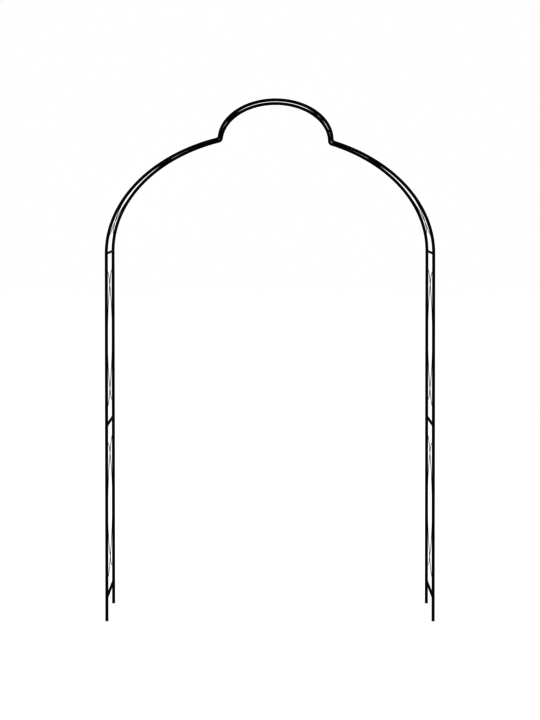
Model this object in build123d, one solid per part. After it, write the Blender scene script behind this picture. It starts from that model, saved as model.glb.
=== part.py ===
from build123d import *
import os
from math import radians, tan

# A free-standing garden arch in welded and plugged steel tube: two identical hoops, front and rear, held
# apart by rungs, with two bent wires crossing each other in every bay of the panels between them.
# Millimetres. Z is up, X runs across the walkway and Y along it, with the front hoop at -Y.
# The origin is on the ground, in the middle between the four feet.

# Hoop line, measured between tube centres
arch_width = 1500.0           # left upright to right upright
panel_depth = 400.0           # front hoop to rear hoop
foot_length = 108.0           # foot end to bottom rung
lower_bay = 791.0             # bottom rung to middle rung
upper_bay = 791.0             # middle rung to spring rung, where the shoulders start to curve
shoulder_rise = 554.0         # height that the shoulder ellipse would reach at mid-width
shoulder_bay = 652.0          # spring rung to shoulder rung, along the curve
crown_width = 517.0
crown_rise = 182.0            # height of the crown ellipse above its own axis
crown_axis = 521.5            # height of that axis above the spring rung
crown_shift = 25.5            # the crown stands this far right of the middle
crown_rung_inset = 46.0       # crown's axis to each crown rung, along the curve
neck_radius = 16.0            # bend where a shoulder turns up into the crown
crown_overrun = 20.0          # degrees that the crown ellipse is drawn on below its axis, to cross the shoulders
corner_match = 1.0            # a corner of the line this near to a neck is that neck

# Stock
tube_diameter = 13.0
tube_wall = 1.0
rung_width = 12.0             # flat-sided oval tube, its wide side across the panel
rung_height = 9.3
rung_wall = 1.0
wire_diameter = 2.5

# Plug-in joints: the lower tube narrows to a plug, and the upper one slides over it
seam_offset = 30.0            # seam to the rung beside it
plug_length = 35.0
plug_clearance = 0.15         # all round
swage_length = 3.0            # thick ring where the tube narrows

# Self-tapping pan-head screw through each plug-in joint
screw_diameter = 3.4
screw_length = 8.0
screw_hole_clearance = 0.1    # all round
screw_head_diameter = 7.5
screw_head_height = 2.4
screw_head_round = 0.9
screw_setback = 17.0          # seam to screw

# Crossing wires: places along the panel, from the rung, and sideways, from its middle
side_cross = 161.0            # rung to the point where the two wires cross
shoulder_cross = 158.0
crown_cross = 106.0
tail_lead = 84.0              # crossing back to the welded end, along the panel
knee_lead = 65.0              # crossing back to the knee of the tail
knee_reach = 75.0
elbow_share = 0.18            # crossing on to the elbow, both ways, over the span between the crossings
bow_share = 0.28              # half the bow's width over that span
bow_flat_share = 0.13         # the corners at the bow's widest over that span
bend_share = 0.48             # how much of its shorter run a bend takes up
curved_runs = 24              # straight runs that make up a wire bent round a curved panel

tube_radius = tube_diameter / 2
bore_radius = tube_radius - tube_wall
plug_radius = bore_radius - plug_clearance
plug_bore = plug_radius - tube_wall
wire_radius = wire_diameter / 2
half_width = arch_width / 2
half_depth = panel_depth / 2
spring_height = foot_length + lower_bay + upper_bay
hoops = {"front": -1, "rear": 1}
sides = {"left": -1, "right": 1}


def save(name, *solids):
    shape = solids[0] if len(solids) == 1 else Compound(children=list(solids))
    export_step(shape, f"parts/{name}.step")


# The hoop line runs from the left foot over the top to the right foot. It is tangent all the way but at
# the two necks, where the crown ellipse crosses the shoulder ellipse, and those are rounded.
crown_centre = (crown_shift, spring_height + crown_axis)
crown_half_width = crown_width / 2
shoulder_arc = EllipticalCenterArc((0, spring_height), half_width, shoulder_rise, start_angle=180, arc_size=-180)
crown_arc = EllipticalCenterArc(
    crown_centre, crown_half_width, crown_rise, start_angle=180 + crown_overrun, arc_size=-180 - 2 * crown_overrun
)
necks = sorted(shoulder_arc.find_intersection_points(crown_arc), key=lambda point: point.X)
left_foot = (-half_width, 0)
right_foot = (half_width, 0)
hoop = Wire([
    Edge.make_line(left_foot, shoulder_arc @ 0),
    shoulder_arc.trim(0, shoulder_arc.param_at_point(necks[0])),
    crown_arc.trim(crown_arc.param_at_point(necks[0]), crown_arc.param_at_point(necks[1])),
    shoulder_arc.trim(shoulder_arc.param_at_point(necks[1]), 1),
    Edge.make_line(shoulder_arc @ 1, right_foot),
])
neck_corners = [
    corner for corner in hoop.vertices() if any((Vector(corner) - neck).length < corner_match for neck in necks)
]
hoop = hoop.fillet_2d(neck_radius, neck_corners)
hoop_length = hoop.length

# Rungs and seams, as distances along the hoop line from the nearer foot
middle_rung = foot_length + lower_bay
shoulder_rung = spring_height + shoulder_bay
lower_seam = middle_rung - seam_offset
upper_seam = spring_height - seam_offset
crown_seam = shoulder_rung + seam_offset
crown_half = EllipticalCenterArc(crown_centre, crown_half_width, crown_rise, start_angle=180, arc_size=-180)
left_crown_point = crown_half.position_at(crown_rung_inset / crown_half.length)
right_crown_point = crown_half.position_at(1 - crown_rung_inset / crown_half.length)
left_crown_rung = hoop.param_at_point(left_crown_point) * hoop_length
right_crown_rung = (1 - hoop.param_at_point(right_crown_point)) * hoop_length


def along(side, distance):
    # a distance from that side's foot, as a share of the whole hoop line
    share = distance / hoop_length
    return share if side == "left" else 1 - share


def stretch(hoop_name, side, start, end):
    # the hoop line between two distances, in its place in space
    first, last = sorted((along(side, start), along(side, end)))
    return Pos(0, hoops[hoop_name] * half_depth, 0) * (Plane.XZ * hoop.trim(first, last))


def spot(side, distance):
    # a point of the panel's middle, with its way up the hoop and its way out of the arch
    place = hoop.position_at(along(side, distance))
    ahead = hoop.tangent_at(along(side, distance))
    upward = Vector(ahead.X, 0, ahead.Y) * (1 if side == "left" else -1)
    outward = Vector(-ahead.Y, 0, ahead.X)
    return Vector(place.X, 0, place.Y), upward, outward


def rod(line, radius, bore=0.0):
    across = Plane(line @ 0, z_dir=line % 0)
    section = across * Circle(radius)
    if bore > 0:
        section -= across * Circle(bore)
    return sweep(section, path=line)


def hoop_tube(hoop_name, side, start, end, plugged=True):
    # one length of hoop tube, with its plug at the far end
    tube = rod(stretch(hoop_name, side, start, end), tube_radius, bore_radius)
    if plugged:
        tube += rod(stretch(hoop_name, side, end - swage_length, end), tube_radius, plug_bore)
        tube += rod(stretch(hoop_name, side, end, end + plug_length), plug_radius, plug_bore)
    return tube


def screw_plane(hoop_name, side, seam):
    # on the hoop line beside a seam, facing away from the other hoop
    place, upward, outward = spot(side, seam + screw_setback)
    facing = hoops[hoop_name]
    return Plane(place + Vector(0, facing * half_depth, 0), x_dir=upward, z_dir=(0, facing, 0))


def screw_hole(hoop_name, side, seam):
    on_axis = (Align.CENTER, Align.CENTER, Align.MIN)
    radius = screw_diameter / 2 + screw_hole_clearance
    return screw_plane(hoop_name, side, seam) * Cylinder(radius, tube_diameter, align=on_axis)


def screw(hoop_name, side, seam):
    from_seat = (Align.CENTER, Align.CENTER, Align.MIN)
    to_seat = (Align.CENTER, Align.CENTER, Align.MAX)
    head = Cylinder(screw_head_diameter / 2, screw_head_height, align=from_seat)
    head = fillet(head.edges().sort_by(Axis.Z)[-1], screw_head_round)
    body = head + Cylinder(screw_diameter / 2, screw_length, align=to_seat)
    return screw_plane(hoop_name, side, seam) * Pos(0, 0, tube_radius) * body


def make_tubes():
    lengths = {
        "lower_upright": (0, lower_seam),
        "upper_upright": (lower_seam, upper_seam),
        "shoulder_tube": (upper_seam, crown_seam),
    }
    for hoop_name in hoops:
        for side in sides:
            for name, (start, end) in lengths.items():
                tube = hoop_tube(hoop_name, side, start, end)
                for seam in (start, end):
                    if seam > 0:
                        tube -= screw_hole(hoop_name, side, seam)
                save(f"{hoop_name}_{side}_{name}", tube)
        crown = hoop_tube(hoop_name, "left", crown_seam, hoop_length - crown_seam, plugged=False)
        for side in sides:
            crown -= screw_hole(hoop_name, side, crown_seam)
        save(f"{hoop_name}_crown_tube", crown)


def make_screws():
    for name, seam in (("upright", lower_seam), ("spring", upper_seam), ("crown", crown_seam)):
        save(f"{name}_joint_screws", *[screw(hoop_name, side, seam) for hoop_name in hoops for side in sides])


def cut_to_hoops(piece, side, distance):
    # saddle both ends of a piece to the tubes that it is welded between
    for hoop_name in hoops:
        piece -= rod(stretch(hoop_name, side, distance - rung_width, distance + rung_width), tube_radius)
    return piece


def make_rungs():
    rungs = {"bottom": foot_length, "middle": middle_rung, "spring": spring_height, "shoulder": shoulder_rung}
    places = [(f"{side}_{name}_rung", side, rungs[name]) for side in sides for name in rungs]
    places += [("left_crown_rung", "left", left_crown_rung), ("right_crown_rung", "right", right_crown_rung)]
    for name, side, distance in places:
        place, upward, outward = spot(side, distance)
        across = Plane(place - Vector(0, half_depth, 0), x_dir=outward, z_dir=(0, 1, 0))
        wall = 2 * rung_wall
        section = SlotOverall(rung_width, rung_height) - SlotOverall(rung_width - wall, rung_height - wall)
        save(name, cut_to_hoops(extrude(across * section, panel_depth), side, distance))


def bend_radii(points):
    # the largest bends that fit a route of straight runs, one for each corner
    radii = []
    for before, corner, after in zip(points, points[1:], points[2:]):
        turn = (corner - before).get_angle(after - corner)
        shorter = min((corner - before).length, (after - corner).length)
        radii.append(bend_share * shorter / tan(radians(turn / 2)))
    return radii


def flat_outline(bay, cross, start_side):
    # one wire of a bay laid flat: X sideways, Y along the bay. It starts and ends at the same tube,
    # crosses the middle twice and bows out between, on the other side.
    span = bay - 2 * cross
    half = [
        (half_depth, cross - tail_lead),
        (knee_reach, cross - knee_lead),
        (-elbow_share * span, cross + elbow_share * span),
        (-bow_share * span, (bay - bow_flat_share * span) / 2),
    ]
    half = [Vector(start_side * reach, lead) for reach, lead in half]
    points = half + [Vector(point.X, bay - point.Y) for point in reversed(half)]
    return FilletPolyline(points, radius=bend_radii(points))


def straight_route(side, start, outline, offset):
    # an outline stood up in a straight panel, a wire's radius off its middle
    place, upward, outward = spot(side, start)
    panel = Plane(place + outward * offset, x_dir=(0, 1, 0), z_dir=Vector(0, 1, 0).cross(upward))
    return panel * outline


def curved_route(side, start, outline, offset):
    # an outline wrapped round a curved panel
    points = []
    for step in range(curved_runs + 1):
        flat = outline @ (step / curved_runs)
        place, upward, outward = spot(side, start + flat.Y)
        points.append(place + outward * offset + Vector(0, flat.X, 0))
    return FilletPolyline(points, radius=bend_radii(points))


def make_scrolls():
    bays = []
    for side in sides:
        bays.append((f"{side}_lower", side, foot_length, lower_bay, side_cross, straight_route))
        bays.append((f"{side}_upper", side, middle_rung, upper_bay, side_cross, straight_route))
        bays.append((f"{side}_shoulder", side, spring_height, shoulder_bay, shoulder_cross, curved_route))
    crown_bay = hoop_length - left_crown_rung - right_crown_rung
    bays.append(("crown", "left", left_crown_rung, crown_bay, crown_cross, curved_route))
    for bay_name, side, start, bay, cross, route in bays:
        for hoop_name, facing in hoops.items():
            outline = flat_outline(bay, cross, facing)
            line = route(side, start, outline, facing * wire_radius)
            wire = rod(line, wire_radius)
            first = start + cross - tail_lead
            last = start + bay - cross + tail_lead
            for end in (first, last):
                near = stretch(hoop_name, side, end - rung_width, end + rung_width)
                wire -= rod(near, tube_radius)
            save(f"{bay_name}_{hoop_name}_scroll", wire)


os.makedirs("parts", exist_ok=True)
make_tubes()
make_screws()
make_rungs()
make_scrolls()
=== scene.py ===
import bmesh
import bpy
import numpy as np
from math import atan2, ceil, cos, hypot, pi, radians, sin, sqrt, tan
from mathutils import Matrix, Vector


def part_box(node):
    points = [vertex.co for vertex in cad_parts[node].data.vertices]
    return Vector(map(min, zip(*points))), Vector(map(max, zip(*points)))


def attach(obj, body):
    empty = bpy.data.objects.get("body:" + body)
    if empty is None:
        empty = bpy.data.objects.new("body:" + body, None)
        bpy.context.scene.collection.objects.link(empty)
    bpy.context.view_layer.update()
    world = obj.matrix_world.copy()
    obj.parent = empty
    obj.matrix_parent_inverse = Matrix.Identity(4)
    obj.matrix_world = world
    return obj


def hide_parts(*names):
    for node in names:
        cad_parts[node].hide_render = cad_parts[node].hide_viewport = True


# A free-standing garden arch in black powder-coated steel tube. Metres: Z up, X across the walkway,
# Y along it, front hoop at -Y. Every piece stands for a node of the frame and rides on its one body.

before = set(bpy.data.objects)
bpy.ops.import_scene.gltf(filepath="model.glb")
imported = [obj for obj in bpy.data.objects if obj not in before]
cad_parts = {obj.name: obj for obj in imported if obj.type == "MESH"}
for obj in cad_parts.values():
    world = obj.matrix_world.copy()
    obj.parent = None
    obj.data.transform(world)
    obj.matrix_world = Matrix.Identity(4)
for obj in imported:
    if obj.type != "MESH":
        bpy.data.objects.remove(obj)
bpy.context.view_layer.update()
bodyName = "root"
alongY = Vector((0, 1, 0))


# Materials

def linearColour(hexCode):
    # sRGB hex to the linear colour that a shader takes
    channels = [int(hexCode[i:i + 2], 16) / 255 for i in (1, 3, 5)]
    return [c / 12.92 if c <= 0.04045 else ((c + 0.055) / 1.055) ** 2.4 for c in channels] + [1.0]


def addNode(tree, kind, sockets={}, **settings):
    # one node, with its settings, and with each socket given a value or a link
    node = tree.nodes.new("ShaderNode" + kind)
    for name, value in settings.items():
        setattr(node, name, value)
    for name, value in sockets.items():
        if isinstance(value, bpy.types.NodeSocket):
            tree.links.new(value, node.inputs[name])
        else:
            node.inputs[name].default_value = value
    return node


def newTree(name):
    material = bpy.data.materials.new(name)
    material.use_nodes = True
    material.node_tree.nodes.clear()
    return material, material.node_tree


# Polyester powder coat, sprayed dry on steel and baked: a thick satin black film that flowed a little as it
# cured. To the eye it is almost pure black, with soft highlights that waver in the film's orange peel,
# and patches a shade greyer and duller where the film is thinner.
powderCoats = {
    "powderCoatedTube": {
        "thick": "#0b0b0c", "thin": "#1b1b1c",
        "patch": 0.045,         # size of a thicker or thinner patch of film
        "peel": 0.005,          # the film's waves are 1.5 mm wide, drawn wider so that they show
        "peelHeight": 0.00004,
        "grain": 0.0011,        # powder that didn't quite flow out: 0.3 mm, drawn larger so that it shows
        "grainHeight": 0.000008,
        "gloss": (0.34, 0.5),   # roughness where the film is thick, and where it is thin
        "ior": 1.5, "specular": 0.4,
    },
    "powderCoatedWire": {       # the same film on thin wire, its waves and grain drawn wider too
        "thick": "#0a0a0b", "thin": "#1a1a1b",
        "patch": 0.025, "peel": 0.004, "peelHeight": 0.00003,
        "grain": 0.0009, "grainHeight": 0.000008,
        "gloss": (0.36, 0.52), "ior": 1.5, "specular": 0.4,
    },
    "powderCoatedWeld": {       # the film pools beside a bead and thins over its ripples
        "thick": "#090909", "thin": "#1f1f20",
        "patch": 0.006, "peel": 0.002, "peelHeight": 0.00002,
        "grain": 0.0008, "grainHeight": 0.000006,
        "gloss": (0.38, 0.6), "ior": 1.5, "specular": 0.4,
    },
}

coatPatches = (0.36, 0.66)      # noise under this is thick film, and over it thin
coatSpeckle = 0.08              # how much the grain roughens the gloss


def powderCoat(name):
    look = powderCoats[name]
    allThick, allThin = coatPatches
    shiny, dulled = look["gloss"]
    material, tree = newTree(name)
    place = addNode(tree, "TexCoord").outputs["Object"]
    patches = addNode(tree, "TexNoise", {
        "Vector": place, "Scale": 1 / look["patch"], "Detail": 3.0, "Roughness": 0.55}).outputs["Fac"]
    spread = addNode(tree, "MapRange", {
        "Value": patches, "From Min": allThick, "From Max": allThin},
        interpolation_type="SMOOTHSTEP").outputs["Result"]
    colour = addNode(tree, "Mix", {
        "Factor": spread, "A": linearColour(look["thick"]), "B": linearColour(look["thin"])},
        data_type="RGBA")
    peel = addNode(tree, "TexNoise", {
        "Vector": place, "Scale": 1 / look["peel"], "Detail": 1.0, "Roughness": 0.4}).outputs["Fac"]
    grain = addNode(tree, "TexNoise", {
        "Vector": place, "Scale": 1 / look["grain"], "Detail": 2.0, "Roughness": 0.6}).outputs["Fac"]
    dull = addNode(tree, "Mix", {
        "Factor": spread, "A": shiny, "B": dulled}, data_type="FLOAT").outputs["Result"]
    speckled = addNode(tree, "Math", {
        0: grain, 1: coatSpeckle, 2: dull}, operation="MULTIPLY_ADD").outputs["Value"]
    waves = addNode(tree, "Bump", {"Height": peel, "Distance": look["peelHeight"]})
    relief = addNode(tree, "Bump", {
        "Height": grain, "Distance": look["grainHeight"], "Normal": waves.outputs["Normal"]})
    shader = addNode(tree, "BsdfPrincipled", {
        "Base Color": colour.outputs["Result"], "Roughness": speckled, "IOR": look["ior"],
        "Specular IOR Level": look["specular"], "Normal": relief.outputs["Normal"]})
    addNode(tree, "OutputMaterial", {"Surface": shader.outputs["BSDF"]})
    return material


# Zinc-plated steel, passivated black and waxed: darker and a little oilier than the powder coat, with
# a trace of bare metal on the edges that the driver touches.
blackZinc = {
    "film": "#0a0a0b", "worn": "#2b2b2d",
    "wear": 0.0016,             # size of a worn spot
    "edges": (0.52, 0.6),       # pointiness where an edge starts to wear, and where it is worn
    "waxHeight": 0.00001,
    "ior": 1.5, "specular": 0.4, "gloss": (0.28, 0.46),
}


def blackZincPlate():
    material, tree = newTree("blackZincScrew")
    unworn, worn = blackZinc["edges"]
    oiled, dry = blackZinc["gloss"]
    place = addNode(tree, "TexCoord").outputs["Object"]
    edges = addNode(tree, "NewGeometry").outputs["Pointiness"]
    edge = addNode(tree, "MapRange", {
        "Value": edges, "From Min": unworn, "From Max": worn}).outputs["Result"]
    spots = addNode(tree, "TexNoise", {
        "Vector": place, "Scale": 1 / blackZinc["wear"], "Detail": 3.0}).outputs["Fac"]
    wear = addNode(tree, "Math", {
        0: edge, 1: spots}, operation="MULTIPLY", use_clamp=True).outputs["Value"]
    colour = addNode(tree, "Mix", {
        "Factor": wear, "A": linearColour(blackZinc["film"]), "B": linearColour(blackZinc["worn"])},
        data_type="RGBA")
    dull = addNode(tree, "Mix", {"Factor": spots, "A": oiled, "B": dry}, data_type="FLOAT")
    relief = addNode(tree, "Bump", {"Height": spots, "Distance": blackZinc["waxHeight"]})
    shader = addNode(tree, "BsdfPrincipled", {
        "Base Color": colour.outputs["Result"], "Roughness": dull.outputs["Result"], "IOR": blackZinc["ior"],
        "Specular IOR Level": blackZinc["specular"], "Normal": relief.outputs["Normal"]})
    addNode(tree, "OutputMaterial", {"Surface": shader.outputs["BSDF"]})
    return material


finishes = {name: powderCoat(name) for name in powderCoats}
finishes["blackZincScrew"] = blackZincPlate()
print("materials:", ", ".join(finishes))


# The line that both hoops follow, from the left foot over the top to the right foot

hoopShape = {
    "shoulderRise": 0.554,      # height that the shoulder ellipse would reach at mid-width
    "crownWidth": 0.517,
    "crownRise": 0.182,         # height of the crown ellipse above its own axis
    "crownShift": 0.0255,       # the crown stands this far right of the middle
    "neckRadius": 0.016,        # bend where a shoulder turns up into the crown
    "spacing": 0.0005,          # samples along the curves
    "uprightSpacing": 0.001,    # and along the straight legs
    "merge": 0.00005,           # samples nearer than this become one
    "crownOverrun": 0.4,        # radians that the crown is drawn on below its axis
    "touchSamples": 60000,      # places on the crown that a neck is tried against
    "touchSteps": 48,
    "turn": radians(2.0),       # a ring of the mesh for each of these turns of the line
    "longestRing": 0.06,        # and at least one in each of these lengths
}


def middle(node):
    low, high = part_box(node)
    return (low + high) / 2


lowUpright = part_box("front_left_lower_upright")
tubeRadius = (lowUpright[1].x - lowUpright[0].x) / 2
halfWidth = -middle("front_left_lower_upright").x
halfDepth = middle("rear_left_lower_upright").y
springHeight = middle("left_spring_rung").z
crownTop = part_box("front_crown_tube")[1].z - tubeRadius
sides = ("left", "right")
hoops = {"front": -1, "rear": 1}

shoulderEllipse = (Vector((0, 0, springHeight)), halfWidth, hoopShape["shoulderRise"])
crownCentre = Vector((hoopShape["crownShift"], 0, crownTop - hoopShape["crownRise"]))
crownEllipse = (crownCentre, hoopShape["crownWidth"] / 2, hoopShape["crownRise"])


def ellipsePoint(ellipse, angle):
    centre, wide, rise = ellipse
    return centre + Vector((wide * cos(angle), 0, rise * sin(angle)))


def ellipseRun(ellipse, start, end):
    # points along an ellipse between two angles
    count = ceil(abs(end - start) * ellipse[1] / hoopShape["spacing"])
    return [ellipsePoint(ellipse, angle) for angle in np.linspace(start, end, count + 1)]


def findNeck(footAngle):
    # rolls a disc up the outside of the shoulder until it touches the crown, and gives the shoulder's
    # angle there, the disc's centre and the crown's angle
    centre, wide, rise = crownEllipse
    past = hoopShape["crownOverrun"]
    angles = np.linspace(-past, pi + past, hoopShape["touchSamples"])
    crownX, crownZ = centre.x + wide * np.cos(angles), centre.z + rise * np.sin(angles)
    clear, touching = footAngle, pi / 2
    for step in range(hoopShape["touchSteps"]):
        angle = (clear + touching) / 2
        out = Vector((cos(angle) / shoulderEllipse[1], 0, sin(angle) / shoulderEllipse[2])).normalized()
        disc = ellipsePoint(shoulderEllipse, angle) + out * hoopShape["neckRadius"]
        gaps = np.hypot(crownX - disc.x, crownZ - disc.z)
        outside = ((disc.x - centre.x) / wide) ** 2 + ((disc.z - centre.z) / rise) ** 2 > 1
        if outside and gaps.min() > hoopShape["neckRadius"]:
            clear = angle
        else:
            touching = angle
    return angle, disc, angles[gaps.argmin()]


def neckRun(disc, start, end):
    # the neck's bend, round the disc from one touching point to the other
    first = atan2(start.z - disc.z, start.x - disc.x)
    last = atan2(end.z - disc.z, end.x - disc.x)
    last += 2 * pi if last < first else 0
    count = ceil((last - first) * hoopShape["neckRadius"] / hoopShape["spacing"] * 2)
    turns = np.linspace(first, last, count + 1)
    return [disc + hoopShape["neckRadius"] * Vector((cos(turn), 0, sin(turn))) for turn in turns]


def hoopLine():
    leftAngle, leftDisc, leftTouch = findNeck(pi)
    rightAngle, rightDisc, rightTouch = findNeck(0)
    heights = np.linspace(0, springHeight, ceil(springHeight / hoopShape["uprightSpacing"]))
    leftRise = ellipseRun(shoulderEllipse, pi, leftAngle)
    crown = ellipseRun(crownEllipse, leftTouch, rightTouch)
    rightFall = ellipseRun(shoulderEllipse, rightAngle, 0)
    points = [Vector((-halfWidth, 0, z)) for z in heights] + leftRise
    points += neckRun(leftDisc, leftRise[-1], crown[0]) + crown + neckRun(rightDisc, crown[-1], rightFall[0])
    points += rightFall + [Vector((halfWidth, 0, z)) for z in reversed(heights)]
    kept = points[:1]
    for point in points[1:]:
        if (point - kept[-1]).length > hoopShape["merge"]:
            kept.append(point)
    return np.array([point.x for point in kept]), np.array([point.z for point in kept])


lineX, lineZ = hoopLine()
lineAt = np.concatenate(([0], np.cumsum(np.hypot(np.diff(lineX), np.diff(lineZ)))))
aheadX, aheadZ = np.gradient(lineX, lineAt), np.gradient(lineZ, lineAt)
heading = np.unwrap(np.arctan2(aheadZ, aheadX))
hoopLength = float(lineAt[-1])
ringCount = np.concatenate(([0], np.cumsum(
    np.abs(np.diff(heading)) / hoopShape["turn"] + np.diff(lineAt) / hoopShape["longestRing"])))
print(f"hoop line: {hoopLength:.4f} m")


def hoopAt(distance):
    # point of the line, its direction, and the direction out of the arch
    point = Vector((np.interp(distance, lineAt, lineX), 0, np.interp(distance, lineAt, lineZ)))
    ahead = Vector((np.interp(distance, lineAt, aheadX), 0, np.interp(distance, lineAt, aheadZ))).normalized()
    return point, ahead, Vector((-ahead.z, 0, ahead.x))


def offLine(point):
    # how far a point is from the line, seen along Y, and the distance along the line there
    nearest = int(np.hypot(lineX - point.x, lineZ - point.z).argmin())
    toPoint = Vector((point.x - lineX[nearest], 0, point.z - lineZ[nearest]))
    ahead = Vector((aheadX[nearest], 0, aheadZ[nearest])).normalized()
    return abs(toPoint.x * ahead.z - toPoint.z * ahead.x), float(lineAt[nearest]) + toPoint.dot(ahead)


def fromFoot(side, distance):
    # a distance from that side's foot, as a distance along the whole line
    return distance if side == "left" else hoopLength - distance


def ringPlaces(start, end):
    # distances between two places, closer together where the line turns
    first, last = np.interp((start, end), lineAt, ringCount)
    count = max(1, ceil(abs(last - first)))
    return [float(place) for place in np.interp(np.linspace(first, last, count + 1), ringCount, lineAt)]


# Mesh helpers

def addSkin(bm, rings, joined=False):
    # faces between rings of points. The last ring meets the first one, or both ends are closed.
    rows = [[bm.verts.new(point) for point in ring] for ring in rings]
    pairs = list(zip(rows, rows[1:]))
    if joined:
        pairs.append((rows[-1], rows[0]))
    else:
        bm.faces.new(rows[0])
        bm.faces.new(rows[-1])
    for near, far in pairs:
        for i in range(len(near)):
            bm.faces.new((near[i - 1], near[i], far[i], far[i - 1]))


def circle(centre, across, up, radius, count):
    turns = [2 * pi * i / count for i in range(count)]
    return [centre + (across * cos(turn) + up * sin(turn)) * radius for turn in turns]


def pieceName(node):
    first, *rest = node.split("_")
    return first + "".join(word.capitalize() for word in rest)


def addPiece(name, bm, finish, slot, *nodes, crease=radians(32)):
    bmesh.ops.recalc_face_normals(bm, faces=bm.faces)
    mesh = bpy.data.meshes.new(name)
    bm.to_mesh(mesh)
    bm.free()
    mesh.shade_smooth()
    mesh.set_sharp_from_angle(angle=crease)
    mesh.materials.append(finishes[finish])
    piece = bpy.data.objects.new(name, mesh)
    bpy.context.scene.collection.objects.link(piece)
    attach(piece, bodyName)
    if nodes:
        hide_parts(*nodes)
    return piece


# Hoop tubes: each is swaged down to a plug at its far end, and the next one slides over it

tubeShape = {
    "wall": 0.001,
    "edge": 0.0004,             # cut ends are deburred and filled by the coat to this round
    "plugClearance": 0.00015,
    "plugLength": 0.035,
    "plugLead": 0.0012,         # chamfer that starts the plug into its sleeve
    "swage": 0.003,             # thick ring where the tube narrows
    "crownSeam": 0.030,         # shoulder rung to the seam above it
    "sides": 32,
}
boreRadius = tubeRadius - tubeShape["wall"]
plugRadius = boreRadius - tubeShape["plugClearance"]
plugBore = plugRadius - tubeShape["wall"]


def roundedEnd(end, inward, radius):
    # a cut end's outer edge, from the end face on to the tube's side
    turns = [radians(angle) for angle in (0, 30, 60, 90)]
    edge = tubeShape["edge"]
    return [(end + inward * edge * (1 - cos(turn)), radius - edge * (1 - sin(turn))) for turn in turns]


def straightSkin(start, end, radius):
    return [(place, radius) for place in ringPlaces(start, end)]


def addTube(bm, hoopName, start, end, plugged=True):
    # start and end are distances along the line, and end may be the smaller
    onward = 1 if end > start else -1
    edge = tubeShape["edge"] * onward
    profile = roundedEnd(start, onward, tubeRadius)
    profile += straightSkin(start + edge, end - edge, tubeRadius)[1:-1]
    profile += reversed(roundedEnd(end, -onward, tubeRadius))
    if plugged:
        tip = end + onward * tubeShape["plugLength"]
        lead = onward * tubeShape["plugLead"]
        neck = end - onward * tubeShape["swage"]
        profile += straightSkin(end, tip - lead, plugRadius)
        profile += [(tip, plugRadius - tubeShape["plugLead"] / 2), (tip, plugBore)]
        profile += straightSkin(tip, neck, plugBore)[1:]
        profile += straightSkin(neck, start + edge / 2, boreRadius)
    else:
        profile += [(end, boreRadius + tubeShape["edge"] / 2)]
        profile += straightSkin(end - edge / 2, start + edge / 2, boreRadius)
    profile += [(start, boreRadius + tubeShape["edge"] / 2)]
    rings = []
    for distance, radius in profile:
        point, ahead, outward = hoopAt(distance)
        centre = point + alongY * hoops[hoopName] * halfDepth
        rings.append(circle(centre, outward, alongY, radius, tubeShape["sides"]))
    addSkin(bm, rings, joined=True)


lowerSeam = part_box("front_left_upper_upright")[0].z
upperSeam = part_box("front_left_shoulder_tube")[0].z
shoulderRung = offLine(middle("left_shoulder_rung"))[1]
crownSeam = shoulderRung + tubeShape["crownSeam"]
tubeRuns = {
    "lower_upright": (0, lowerSeam),
    "upper_upright": (lowerSeam, upperSeam),
    "shoulder_tube": (upperSeam, crownSeam),
}


def makeTubes():
    for hoopName in hoops:
        for side in sides:
            for name, (start, end) in tubeRuns.items():
                bm = bmesh.new()
                addTube(bm, hoopName, fromFoot(side, start), fromFoot(side, end))
                node = f"{hoopName}_{side}_{name}"
                addPiece(pieceName(node), bm, "powderCoatedTube", "coated_tube", node)
        bm = bmesh.new()
        addTube(bm, hoopName, crownSeam, hoopLength - crownSeam, plugged=False)
        node = f"{hoopName}_crown_tube"
        addPiece(pieceName(node), bm, "powderCoatedTube", "coated_tube", node)


makeTubes()
print("tubes: 14")


# Welds: a bead runs round each end of a rung or wire, in the corner where it meets the tube

weldShape = {
    "lift": 0.00035,            # the bead's middle stands this far off both surfaces
    "rungBead": 0.0013,
    "wireBead": 0.00095,
    "ripple": 0.0016,           # one ripple for each of these lengths of bead
    "rippleHeight": 0.13,       # over the bead's radius
    "waver": 0.10,              # slow swelling along the bead, over its radius
    "groundBack": 0.0001,       # left between a bead and the tube's outermost line
    "sides": 10,
    "stepsPerRipple": 4,
    "fewestRipples": 5,
    "pathSides": 24,            # places round a wire that its bead is led through
    "searchSteps": 24,          # halvings to find where a bead meets the tube
}
beads = {"left": bmesh.new(), "right": bmesh.new(), "crown": bmesh.new()}


def addBead(bm, path, radius, seed):
    # a closed bead along a ring of points, with the ripples that the weld pool leaves
    middlePoint = sum(path, Vector()) / len(path)
    length = sum((b - a).length for a, b in zip(path, path[1:] + path[:1]))
    ripples = max(weldShape["fewestRipples"], round(length / weldShape["ripple"]))
    count = ripples * weldShape["stepsPerRipple"]
    at = [0.0]
    for a, b in zip(path, path[1:] + path[:1]):
        at.append(at[-1] + (b - a).length)
    loop = path + path[:1]
    rings = []
    for i in range(count):
        where = at[-1] * i / count
        k = min(int(np.searchsorted(at, where, side="right")) - 1, len(path) - 1)
        share = (where - at[k]) / (at[k + 1] - at[k])
        point = loop[k].lerp(loop[k + 1], share)
        onward = (path[(k + 1) % len(path)] - path[k - 1 if share < 0.5 else k]).normalized()
        out = point - middlePoint
        out = (out - onward * out.dot(onward)).normalized()
        phase = 2 * pi * i / count
        swell = 1 + weldShape["waver"] * sin(2 * phase + seed) * cos(3 * phase - 2.3 * seed)
        ripple = 1 + weldShape["rippleHeight"] * abs(sin(phase * ripples / 2))
        ring = circle(point, out, onward.cross(out), radius * swell * ripple, weldShape["sides"])
        rings.append([withinTube(place) for place in ring])
    addSkin(bm, rings, joined=True)


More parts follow.
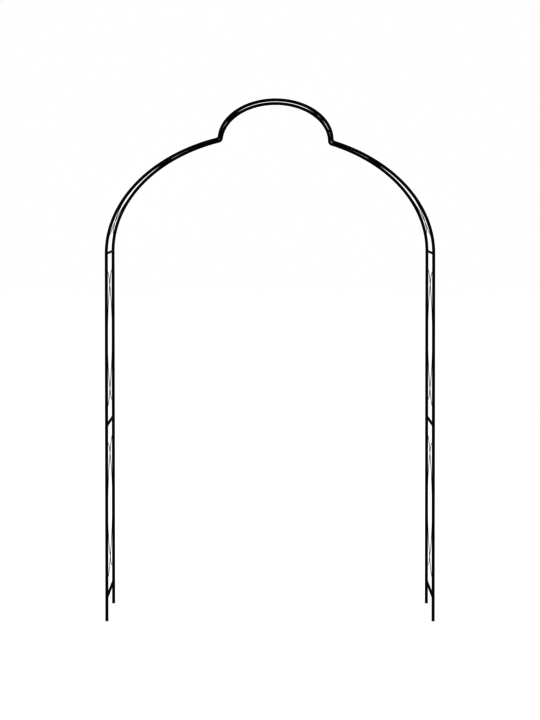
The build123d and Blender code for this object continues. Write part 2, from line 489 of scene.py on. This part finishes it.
def withinTube(point):
    # a bead is ground back where it would stand out past the hoop tubes' own faces
    distance = offLine(point)[1]
    centre, ahead, outward = hoopAt(distance)
    over = (point - centre).dot(outward)
    limit = tubeRadius - weldShape["groundBack"]
    return point - outward * (over - max(-limit, min(limit, over)))


# Rungs: flat-sided oval tube, wide side across the panel, coped to the hoop tubes and welded

rungShape = {
    "curveSteps": 12,           # faces round each rounded side
    "bite": 0.0004,             # how far a coped end goes into the tube, so that no gap shows
    "rings": 9,
}
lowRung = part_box("left_bottom_rung")
rungWidth, rungHeight = lowRung[1].x - lowRung[0].x, lowRung[1].z - lowRung[0].z


def ovalOutline(grown=0.0):
    # sideways and upward places round a rung's section
    flat, radius, steps = (rungWidth - rungHeight) / 2, rungHeight / 2 + grown, rungShape["curveSteps"]
    outline = []
    for way in (1, -1):
        for i in range(steps + 1):
            turn = pi * i / steps - pi / 2
            outline.append((way * (flat + radius * cos(turn)), way * radius * sin(turn)))
    return outline


def makeRung(node, group):
    distance = offLine(middle(node))[1]
    point, ahead, outward = hoopAt(distance)
    edges = []
    for sideways, upward in ovalOutline():
        place = point + outward * sideways + ahead * upward
        off = offLine(place)[0]
        reach = sqrt(max((tubeRadius - rungShape["bite"]) ** 2 - off ** 2, 0))
        edges.append((place, halfDepth - reach))
    rings = []
    for share in np.linspace(-1, 1, rungShape["rings"]):
        rings.append([place + alongY * share * reach for place, reach in edges])
    bm = bmesh.new()
    addSkin(bm, rings)
    addPiece(pieceName(node), bm, "powderCoatedTube", "coated_tube", node)
    for facing in hoops.values():
        path = []
        for sideways, upward in ovalOutline(weldShape["lift"]):
            place = point + outward * sideways + ahead * upward
            off = offLine(place)[0]
            reach = sqrt(max((tubeRadius + weldShape["lift"]) ** 2 - off ** 2, 0))
            path.append(place + alongY * facing * (halfDepth - reach))
        addBead(beads[group], path, weldShape["rungBead"], distance * 7 + facing)


rungNames = ("bottom", "middle", "spring", "shoulder", "crown")
for side in sides:
    for name in rungNames:
        makeRung(f"{side}_{name}_rung", "crown" if name == "crown" else side)
print("rungs: 10")


# Bent wires: two to a bay, one welded to the front hoop and one to the rear, crossing twice

wireShape = {
    "sideCross": 0.161,         # rung to the point where the two wires cross
    "shoulderCross": 0.158,
    "crownCross": 0.106,
    "tailLead": 0.084,          # crossing back to the welded end, along the panel
    "kneeLead": 0.065,          # crossing back to the knee of the tail
    "kneeReach": 0.075,         # middle of the panel to the knee
    "elbow": 0.18,              # crossing on to the elbow, both ways, over the span between crossings
    "bow": 0.28,                # half the bow's width over that span
    "bowFlat": 0.13,            # the corners at the bow's widest over that span
    "bend": 0.48,               # how much of its shorter run a bend takes up
    "radius": 0.00125,
    "sides": 14,
    "turn": radians(5),
    "longestRing": 0.012,
    "bite": 0.0008,             # how far an end goes into the tube
    "searchSteps": 30,          # halvings to find where an end is cut
}
# at each crossing the two wires are pressed together and spot-welded
crossWeld = {"reach": 0.0021, "notch": 0.45, "thick": 0.0011, "rings": 7, "sides": 32}


def bentOutline(bay, cross, startSide):
    # one wire of a bay laid flat: X sideways, Y along the bay. It starts and ends at the same tube,
    # crosses the middle twice and bows out between, on the other side.
    span = bay - 2 * cross
    half = [
        (halfDepth, cross - wireShape["tailLead"]),
        (wireShape["kneeReach"], cross - wireShape["kneeLead"]),
        (-wireShape["elbow"] * span, cross + wireShape["elbow"] * span),
        (-wireShape["bow"] * span, (bay - wireShape["bowFlat"] * span) / 2),
    ]
    half = [Vector((startSide * reach, lead)) for reach, lead in half]
    corners = half + [Vector((point.x, bay - point.y)) for point in reversed(half)]
    path = [corners[0]]
    for before, corner, after in zip(corners, corners[1:], corners[2:]):
        inRun, outRun = corner - before, after - corner
        turn = inRun.angle(outRun)
        cut = wireShape["bend"] * min(inRun.length, outRun.length)
        radius = cut / tan(turn / 2)
        start = corner - inRun.normalized() * cut
        left = 1 if inRun.x * outRun.y - inRun.y * outRun.x > 0 else -1
        normal = Vector((-inRun.y, inRun.x)).normalized() * left
        steps = max(2, ceil(max(turn / wireShape["turn"], turn * radius / wireShape["longestRing"])))
        addRun(path, start)
        for i in range(1, steps + 1):
            angle = turn * i / steps
            path.append(start + inRun.normalized() * radius * sin(angle) + normal * radius * (1 - cos(angle)))
    addRun(path, corners[-1])
    return path


def addRun(path, end):
    # a straight run on from the path's last point, in steps
    start = path[-1].copy()
    steps = max(1, ceil((end - start).length / wireShape["longestRing"]))
    path.extend(start.lerp(end, i / steps) for i in range(1, steps + 1))


def tubeGap(point, hoopY):
    return hypot(offLine(point)[0], point.y - hoopY)


def trimEnds(path, hoopY, reach):
    # takes off what lies deeper in the tube than reach from its middle
    while tubeGap(path[1], hoopY) < reach:
        path.pop(0)
    inside, outside = path[0], path[1]
    for step in range(wireShape["searchSteps"]):
        halfway = (inside + outside) / 2
        inside, outside = (halfway, outside) if tubeGap(halfway, hoopY) < reach else (inside, halfway)
    path[0] = outside


def addWire(bm, path):
    side = None
    rings = []
    for i, point in enumerate(path):
        onward = (path[min(i + 1, len(path) - 1)] - path[max(i - 1, 0)]).normalized()
        side = onward.orthogonal() if side is None else side
        side = (side - onward * side.dot(onward)).normalized()
        rings.append(circle(point, side, onward.cross(side), wireShape["radius"], wireShape["sides"]))
    addSkin(bm, rings)


def addWireWeld(bm, end, inner, hoopY, seed):
    # a bead round the wire where it meets the tube; inner is a point further along the wire
    toTube = (end - inner).normalized()
    side = toTube.orthogonal().normalized()
    goal = tubeRadius + weldShape["lift"]
    path = []
    radius = wireShape["radius"] + weldShape["lift"]
    for start in circle(inner, side, toTube.cross(side), radius, weldShape["pathSides"]):
        near, far = 0.0, (end - inner).length + tubeRadius
        for step in range(weldShape["searchSteps"]):
            reach = (near + far) / 2
            near, far = (reach, far) if tubeGap(start + toTube * reach, hoopY) > goal else (near, reach)
        path.append(start + toTube * near)
    addBead(bm, path, weldShape["wireBead"], seed)


def addCrossWeld(bm, point, outward, ahead, slope):
    # a small pressed nugget with four lobes, one in each corner between the two wires
    rings = []
    for i in range(1, crossWeld["rings"]):
        tilt = pi * i / crossWeld["rings"]
        ring = []
        for k in range(crossWeld["sides"]):
            turn = 2 * pi * k / crossWeld["sides"]
            lobe = 1 - crossWeld["notch"] * cos(2 * turn) ** 2
            flat = crossWeld["reach"] * lobe * sin(tilt)
            spin = turn + slope
            flatWay = alongY * cos(spin) + ahead * sin(spin)
            ring.append(point + flatWay * flat + outward * crossWeld["thick"] * cos(tilt))
        rings.append(ring)
    addSkin(bm, rings)


def makeScroll(node, group, side, start, bay, cross, facing):
    hoopY = facing * halfDepth
    path = []
    for flat in bentOutline(bay, cross, facing):
        point, ahead, outward = hoopAt(fromFoot(side, start + flat.y))
        path.append(point + outward * facing * wireShape["radius"] + alongY * flat.x)
    for way in range(2):
        trimEnds(path, hoopY, tubeRadius - wireShape["bite"])
        path.reverse()
    bm = bmesh.new()
    addWire(bm, path)
    addPiece(pieceName(node), bm, "powderCoatedWire", "coated_wire", node)
    for end, inner in ((path[0], path[1]), (path[-1], path[-2])):
        addWireWeld(beads[group], end, inner, hoopY, end.z * 5 + facing)
    if facing > 0:
        return
    for a, b in zip(path, path[1:]):
        if a.y * b.y <= 0 and a.y != b.y:
            crossing = a.lerp(b, a.y / (a.y - b.y))
            distance = offLine(crossing)[1]
            point, ahead, outward = hoopAt(distance)
            slope = atan2((b - a).dot(ahead), (b - a).y)
            addCrossWeld(beads[group], point, outward, ahead, (pi / 2 - abs(abs(slope) - pi / 2)) - pi / 4)


bayRungs = (                    # bay, its lower and upper rung, and where its wires cross
    ("lower", "bottom", "middle", "sideCross"),
    ("upper", "middle", "spring", "sideCross"),
    ("shoulder", "spring", "shoulder", "shoulderCross"),
)


def makeScrolls():
    rungAt = {name: offLine(middle(f"left_{name}_rung"))[1] for name in rungNames}
    bays = []
    for side in sides:
        for name, lower, upper, crossName in bayRungs:
            bay = rungAt[upper] - rungAt[lower]
            bays.append((f"{side}_{name}", side, side, rungAt[lower], bay, wireShape[crossName]))
    crownBay = offLine(middle("right_crown_rung"))[1] - rungAt["crown"]
    bays.append(("crown", "crown", "left", rungAt["crown"], crownBay, wireShape["crownCross"]))
    for name, group, side, start, bay, cross in bays:
        for hoopName, facing in hoops.items():
            makeScroll(f"{name}_{hoopName}_scroll", group, side, start, bay, cross, facing)


makeScrolls()
print("bent wires: 14")
for group, bm in beads.items():
    addPiece(f"{group}Welds", bm, "powderCoatedWeld", "coated_tube", crease=radians(60))
print("welds:", ", ".join(beads))


# Self-tapping pan-head screws, one through each plug-in joint, facing away from the other hoop

screwShape = {
    "setback": 0.017,           # seam to screw
    "headRadius": 0.00375,
    "headHeight": 0.0024,
    "headRound": 0.0011,
    "rimRound": 0.0003,         # small round under the head
    "crown": 0.00025,           # how far the head's top domes
    "shankRadius": 0.0017,
    "length": 0.008,
    "pitch": 0.0012,
    "threadDepth": 0.0004,
    "threadCrest": 0.3,         # root to crest, over the pitch
    "tip": 0.0002,
    "lead": 0.0012,             # tip to the first thread
    "runOut": 0.0006,           # last thread to the head
    "recess": 0.0021,           # cross recess: half its span, half its wing, and its depth
    "recessWing": 0.00045,
    "recessDepth": 0.0013,
    "recessTaper": (0.45, 0.7), # span and wing at its bottom, over those at its top
    "driverOver": 0.0005,       # how far the cutter stands over the head
    "sides": 48,
    "spin": 0.7,                # left screws are turned this much further than right ones
}


def lathe(bm, profile):
    # turns (height, radius) stations about Z
    rings = [circle(Vector((0, 0, z)), Vector((1, 0, 0)), alongY, r, screwShape["sides"]) for z, r in profile]
    addSkin(bm, rings)


def screwMesh():
    shape = screwShape
    top, rounding, rim = shape["headHeight"], shape["headRound"], shape["headRadius"]
    shank, lead, pitch = shape["shankRadius"], shape["lead"], shape["pitch"]
    root = shank - shape["threadDepth"]
    profile = [(-shape["length"], shape["tip"])]
    for i in range(int((shape["length"] - lead) / pitch)):
        z = -shape["length"] + lead + i * pitch
        profile += [(z, root), (z + pitch * shape["threadCrest"], shank)]
    profile += [(-shape["runOut"], root), (0, shank)]
    for height, inset in ((0, 2 / 3), (1 / 3, 2 / 15), (1, 0)):
        profile.append((height * shape["rimRound"], rim - inset * shape["rimRound"]))
    flat = top - shape["crown"]
    for angle in (0, 18, 36, 54, 72, 90):
        turn = radians(angle)
        profile.append((flat - rounding * (1 - sin(turn)), rim - rounding * (1 - cos(turn))))
    inner = rim - rounding
    for share in (0.75, 0.5, 0.25, 0.05):
        profile.append((top - shape["crown"] * share ** 2, inner * share))
    bm = bmesh.new()
    lathe(bm, profile)
    bmesh.ops.recalc_face_normals(bm, faces=bm.faces)
    body = bpy.data.objects.new("screwBlank", bpy.data.meshes.new("screwBlank"))
    bm.to_mesh(body.data)
    bm.free()
    bm = bmesh.new()
    for quarter in range(2):            # the driver's cross: two tapered blades
        blade = []
        stations = ((top + shape["driverOver"], (1, 1)), (top - shape["recessDepth"], shape["recessTaper"]))
        for z, (spanShare, wingShare) in stations:
            long, wing = shape["recess"] * spanShare, shape["recessWing"] * wingShare
            corners = ((long, wing), (-long, wing), (-long, -wing), (long, -wing))
            blade.append([Vector((x, y, z)) if quarter == 0 else Vector((-y, x, z)) for x, y in corners])
        addSkin(bm, blade)
    bmesh.ops.recalc_face_normals(bm, faces=bm.faces)
    cutter = bpy.data.objects.new("driverCross", bpy.data.meshes.new("driverCross"))
    bm.to_mesh(cutter.data)
    bm.free()
    for thing in (body, cutter):
        bpy.context.scene.collection.objects.link(thing)
    cut = body.modifiers.new("recess", "BOOLEAN")
    cut.object, cut.operation, cut.solver, cut.use_self = cutter, "DIFFERENCE", "EXACT", True
    graph = bpy.context.evaluated_depsgraph_get()
    mesh = bpy.data.meshes.new_from_object(body.evaluated_get(graph))
    for thing in (body, cutter):
        bpy.data.objects.remove(thing)
    return mesh


def makeScrews():
    blank = screwMesh()
    for name, seam in (("upright", lowerSeam), ("spring", upperSeam), ("crown", crownSeam)):
        bm = bmesh.new()
        for hoopName, facing in hoops.items():
            for side in sides:
                point, ahead, outward = hoopAt(fromFoot(side, seam + screwShape["setback"]))
                seat = point + alongY * facing * (halfDepth + tubeRadius)
                # no two screws are driven to the same angle
                spin = seam * 3 + facing + (screwShape["spin"] if side == "left" else 0)
                across = ahead * cos(spin) + outward * sin(spin)
                up = (alongY * facing).cross(across)
                copied = bmesh.new()
                copied.from_mesh(blank)
                for vert in copied.verts:
                    x, y, z = vert.co
                    vert.co = seat + across * x + up * y + alongY * facing * z
                placed = bpy.data.meshes.new("placed")
                copied.to_mesh(placed)
                copied.free()
                bm.from_mesh(placed)
                bpy.data.meshes.remove(placed)
        node = f"{name}_joint_screws"
        addPiece(pieceName(node), bm, "blackZincScrew", "coated_screw", node)
    bpy.data.meshes.remove(blank)


makeScrews()
print("screws: 12")


# Studio

studio = {
    "floor": ("#e6e6e6", "#ebebeb"),
    "floorGlow": 0.62,          # lit from below like a light table, which keeps shadows off the thin wires
    "floorMarks": 1.5,          # patches of slightly different white to the metre
    "floorSize": 60.0,
    "world": 0.5,               # soft light from all round
    "worldInGloss": 0.05,       # what gloss sees of it
    "seenWorld": 1.0,
    "aimHeight": 1.3,
}
softboxes = {                   # place, size, watts; all face the arch's middle
    "keySoftbox": ((-4.2, -5.0, 3.6), (1.6, 3.0), 30),
    "fillSoftbox": ((5.2, -3.2, 2.6), (1.4, 2.6), 16),
    "backSoftbox": ((1.5, 5.4, 4.0), (2.4, 1.6), 24),
}


def makeFloor():
    material, tree = newTree("paintedStudioFloor")    # matt white paint: no gloss, a trace of unevenness
    darker, lighter = studio["floor"]
    place = addNode(tree, "TexCoord").outputs["Object"]
    marks = addNode(tree, "TexNoise", {
        "Vector": place, "Scale": studio["floorMarks"], "Detail": 2.0}).outputs["Fac"]
    colour = addNode(tree, "Mix", {
        "Factor": marks, "A": linearColour(darker), "B": linearColour(lighter)}, data_type="RGBA")
    shader = addNode(tree, "BsdfPrincipled", {
        "Base Color": colour.outputs["Result"], "Roughness": 0.9, "Specular IOR Level": 0.1,
        "Emission Color": linearColour("#ffffff"), "Emission Strength": studio["floorGlow"]})
    addNode(tree, "OutputMaterial", {"Surface": shader.outputs["BSDF"]})
    bm = bmesh.new()
    bmesh.ops.create_grid(bm, x_segments=8, y_segments=8, size=studio["floorSize"] / 2)
    mesh = bpy.data.meshes.new("studioFloor")
    bm.to_mesh(mesh)
    bm.free()
    mesh.materials.append(material)
    floor = bpy.data.objects.new("studioFloor", mesh)
    bpy.context.scene.collection.objects.link(floor)
    floor.visible_glossy = False


def makeLights():
    world = bpy.data.worlds.new("studioWorld")
    bpy.context.scene.world = world
    world.use_nodes = True
    tree = world.node_tree
    tree.nodes.clear()
    rays = addNode(tree, "LightPath")
    soft = addNode(tree, "Mix", {
        "Factor": rays.outputs["Is Glossy Ray"], "A": studio["world"], "B": studio["worldInGloss"]},
        data_type="FLOAT")
    strength = addNode(tree, "Mix", {
        "Factor": rays.outputs["Is Camera Ray"], "A": soft.outputs["Result"], "B": studio["seenWorld"]},
        data_type="FLOAT")
    glow = addNode(tree, "Background", {
        "Color": linearColour("#ffffff"), "Strength": strength.outputs["Result"]})
    addNode(tree, "OutputWorld", {"Surface": glow.outputs["Background"]})
    aim = Vector((0, 0, studio["aimHeight"]))
    for name, (place, size, watts) in softboxes.items():
        light = bpy.data.lights.new(name, "AREA")
        light.shape, light.size, light.size_y, light.energy = "RECTANGLE", size[0], size[1], watts
        lamp = bpy.data.objects.new(name, light)
        lamp.location = place
        lamp.rotation_euler = (aim - Vector(place)).to_track_quat("-Z", "Y").to_euler()
        bpy.context.scene.collection.objects.link(lamp)


cameraShape = {
    "distance": 9.434, "height": 1.993, "tilt": 1.22,
    "lens": 100.83,
    "shift": -0.18,             # the view reaches down to the feet with the camera almost level
    "contrast": 0.6,            # display gamma under 1: thin tubes and wires keep their full darkness
}


def makeCamera():
    lens = bpy.data.cameras.new("studioCamera")
    lens.lens, lens.shift_y = cameraShape["lens"], cameraShape["shift"]
    camera = bpy.data.objects.new("studioCamera", lens)
    camera.location = (0, -cameraShape["distance"], cameraShape["height"])
    camera.rotation_euler = (radians(90 - cameraShape["tilt"]), 0, 0)
    bpy.context.scene.collection.objects.link(camera)
    bpy.context.scene.camera = camera
    view = bpy.context.scene.view_settings
    view.view_transform = "Standard"        # a plain curve, so white stays white
    view.gamma = cameraShape["contrast"]


makeFloor()
makeLights()
makeCamera()
print("studio: floor,", ", ".join(softboxes))
